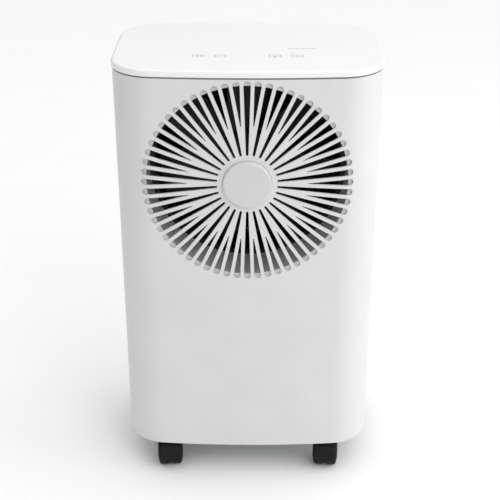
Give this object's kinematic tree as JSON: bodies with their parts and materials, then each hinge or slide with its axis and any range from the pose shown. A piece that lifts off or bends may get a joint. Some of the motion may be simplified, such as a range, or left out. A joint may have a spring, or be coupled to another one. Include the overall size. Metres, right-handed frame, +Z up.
{
  "type": "dehumidifier",
  "caption": "White free-standing dehumidifier with a round radial-slot grille, thin lid, rear bucket and filter, on twin-wheel casters.",
  "frame": {"origin": "on the floor, below the middle of the object's box", "axes": "+Z up, -Y towards the front with the grille, +X to the right seen from the front"},
  "size_m": [0.34, 0.232, 0.592],
  "materials": {
    "white_cover": "fine satin moulded plastic",
    "white_lid": "smooth satin plastic",
    "hub_satin": "smooth satin plastic",
    "grey_duct": "moulded plastic",
    "black_plastic": "moulded plastic",
    "grey_plastic": "moulded plastic",
    "filter_plastic": "moulded plastic",
    "filter_net": "woven net",
    "caster_plastic": "moulded nylon",
    "caster_tread": "moulded tread",
    "steel": "plated steel",
    "black_paint": "semi-gloss paint",
    "black_rubber": "moulded rubber",
    "copper": "drawn copper tube",
    "fin_aluminium": "rolled foil",
    "black_coating": "rolled foil and tube with a black dip coating",
    "capacitor_can": "drawn can",
    "galvanised": "plated sheet",
    "board_green": "solder mask",
    "clear_plastic": "clear moulded plastic",
    "float_foam": "closed-cell foam",
    "magnet_ferrite": "sintered ferrite"
  },
  "bodies": {
    "root": {"front_cover": "white_cover", "rear_cover": "white_cover", "top_lid": "white_lid", "lid_seal": "black_rubber", "hub_cap": "hub_satin", "base_pan": "grey_plastic", "caster_sockets": "caster_plastic", "base_screws": "steel", "cover_screws": "steel", "mid_deck": "grey_plastic", "drip_tray": "grey_plastic", "bay_wall": "grey_plastic", "air_duct": "grey_duct", "fan_shroud": "black_plastic", "fan_motor": "black_plastic", "motor_screws": "steel", "compressor": "black_paint", "compressor_feet": "black_rubber", "compressor_bolts": "steel", "electrics_box": "galvanised", "run_capacitor": "capacitor_can", "control_board": "board_green", "level_switch": "black_plastic", "drain_spigot": "grey_plastic", "cord_gland": "black_plastic", "side_grip_right": "grey_plastic", "side_grip_left": "grey_plastic", "condenser_fins": "black_coating", "condenser_tubes": "black_coating", "evaporator_fins": "fin_aluminium", "evaporator_tubes": "copper", "discharge_pipe": "copper", "suction_pipe": "copper", "capillary_tube": "copper"},
    "fan": {"fan_rotor": "black_plastic", "fan_shaft": "steel", "fan_nut": "steel"},
    "water_bucket": {"bucket": "white_cover", "bucket_window": "clear_plastic"},
    "handle": {"bucket_handle": "grey_plastic"},
    "float": {"bucket_float": "float_foam", "float_magnet": "magnet_ferrite"},
    "air_filter": {"filter_frame": "filter_plastic", "filter_mesh": "filter_net"},
    "plug": {"drain_plug": "black_rubber"},
    "caster_front_left": {"caster_front_left_frame": "caster_plastic", "caster_front_left_axle": "steel"},
    "caster_front_left_wheel_left": {"caster_front_left_wheel_left": "caster_tread"},
    "caster_front_left_wheel_right": {"caster_front_left_wheel_right": "caster_tread"},
    "caster_front_right": {"caster_front_right_frame": "caster_plastic", "caster_front_right_axle": "steel"},
    "caster_front_right_wheel_left": {"caster_front_right_wheel_left": "caster_tread"},
    "caster_front_right_wheel_right": {"caster_front_right_wheel_right": "caster_tread"},
    "caster_rear_left": {"caster_rear_left_frame": "caster_plastic", "caster_rear_left_axle": "steel"},
    "caster_rear_left_wheel_left": {"caster_rear_left_wheel_left": "caster_tread"},
    "caster_rear_left_wheel_right": {"caster_rear_left_wheel_right": "caster_tread"},
    "caster_rear_right": {"caster_rear_right_frame": "caster_plastic", "caster_rear_right_axle": "steel"},
    "caster_rear_right_wheel_left": {"caster_rear_right_wheel_left": "caster_tread"},
    "caster_rear_right_wheel_right": {"caster_rear_right_wheel_right": "caster_tread"}
  },
  "joints": [
    {"name": "fan_spin", "type": "hinge", "parent": "root", "child": "fan", "pos_m": [0, 0, 0.446], "axis": [0, 1, 0], "continuous": true},
    {"name": "bucket_slide", "type": "slide", "parent": "root", "child": "water_bucket", "axis": [0, 1, 0], "range_m": [0, 0.15]},
    {"name": "handle_fold", "type": "hinge", "parent": "water_bucket", "child": "handle", "pos_m": [0, 0.058, 0.198], "axis": [1, 0, 0], "range_deg": [0, 90]},
    {"name": "float_swing", "type": "hinge", "parent": "water_bucket", "child": "float", "pos_m": [-0.089, 0.06, 0.165], "axis": [1, 0, 0], "range_deg": [-14, 6]},
    {"name": "filter_slide", "type": "slide", "parent": "root", "child": "air_filter", "axis": [0, 1, 0], "range_m": [0, 0.05]},
    {"name": "plug_pull", "type": "slide", "parent": "root", "child": "plug", "axis": [0, 1, 0], "range_m": [0, 0.03]},
    {"name": "caster_front_left_swivel", "type": "hinge", "parent": "root", "child": "caster_front_left", "pos_m": [-0.1125, -0.07, 0.048], "axis": [0, 0, 1], "continuous": true},
    {"name": "caster_front_left_roll_left", "type": "hinge", "parent": "caster_front_left", "child": "caster_front_left_wheel_left", "pos_m": [-0.1114, -0.08396, 0.02], "axis": [0.9969, 0.0785, 0], "continuous": true},
    {"name": "caster_front_left_roll_right", "type": "hinge", "parent": "caster_front_left", "child": "caster_front_left_wheel_right", "pos_m": [-0.1114, -0.08396, 0.02], "axis": [0.9969, 0.0785, 0], "continuous": true},
    {"name": "caster_front_right_swivel", "type": "hinge", "parent": "root", "child": "caster_front_right", "pos_m": [0.1125, -0.07, 0.048], "axis": [0, 0, 1], "continuous": true},
    {"name": "caster_front_right_roll_left", "type": "hinge", "parent": "caster_front_right", "child": "caster_front_right_wheel_left", "pos_m": [0.1114, -0.08396, 0.02], "axis": [0.9969, -0.0785, 0], "continuous": true},
    {"name": "caster_front_right_roll_right", "type": "hinge", "parent": "caster_front_right", "child": "caster_front_right_wheel_right", "pos_m": [0.1114, -0.08396, 0.02], "axis": [0.9969, -0.0785, 0], "continuous": true},
    {"name": "caster_rear_left_swivel", "type": "hinge", "parent": "root", "child": "caster_rear_left", "pos_m": [-0.1125, 0.07, 0.048], "axis": [0, 0, 1], "continuous": true},
    {"name": "caster_rear_left_roll_left", "type": "hinge", "parent": "caster_rear_left", "child": "caster_rear_left_wheel_left", "pos_m": [-0.1114, 0.05604, 0.02], "axis": [0.9969, 0.0785, 0], "continuous": true},
    {"name": "caster_rear_left_roll_right", "type": "hinge", "parent": "caster_rear_left", "child": "caster_rear_left_wheel_right", "pos_m": [-0.1114, 0.05604, 0.02], "axis": [0.9969, 0.0785, 0], "continuous": true},
    {"name": "caster_rear_right_swivel", "type": "hinge", "parent": "root", "child": "caster_rear_right", "pos_m": [0.1125, 0.07, 0.048], "axis": [0, 0, 1], "continuous": true},
    {"name": "caster_rear_right_roll_left", "type": "hinge", "parent": "caster_rear_right", "child": "caster_rear_right_wheel_left", "pos_m": [0.1114, 0.05604, 0.02], "axis": [0.9969, -0.0785, 0], "continuous": true},
    {"name": "caster_rear_right_roll_right", "type": "hinge", "parent": "caster_rear_right", "child": "caster_rear_right_wheel_right", "pos_m": [0.1114, 0.05604, 0.02], "axis": [0.9969, -0.0785, 0], "continuous": true}
  ]
}
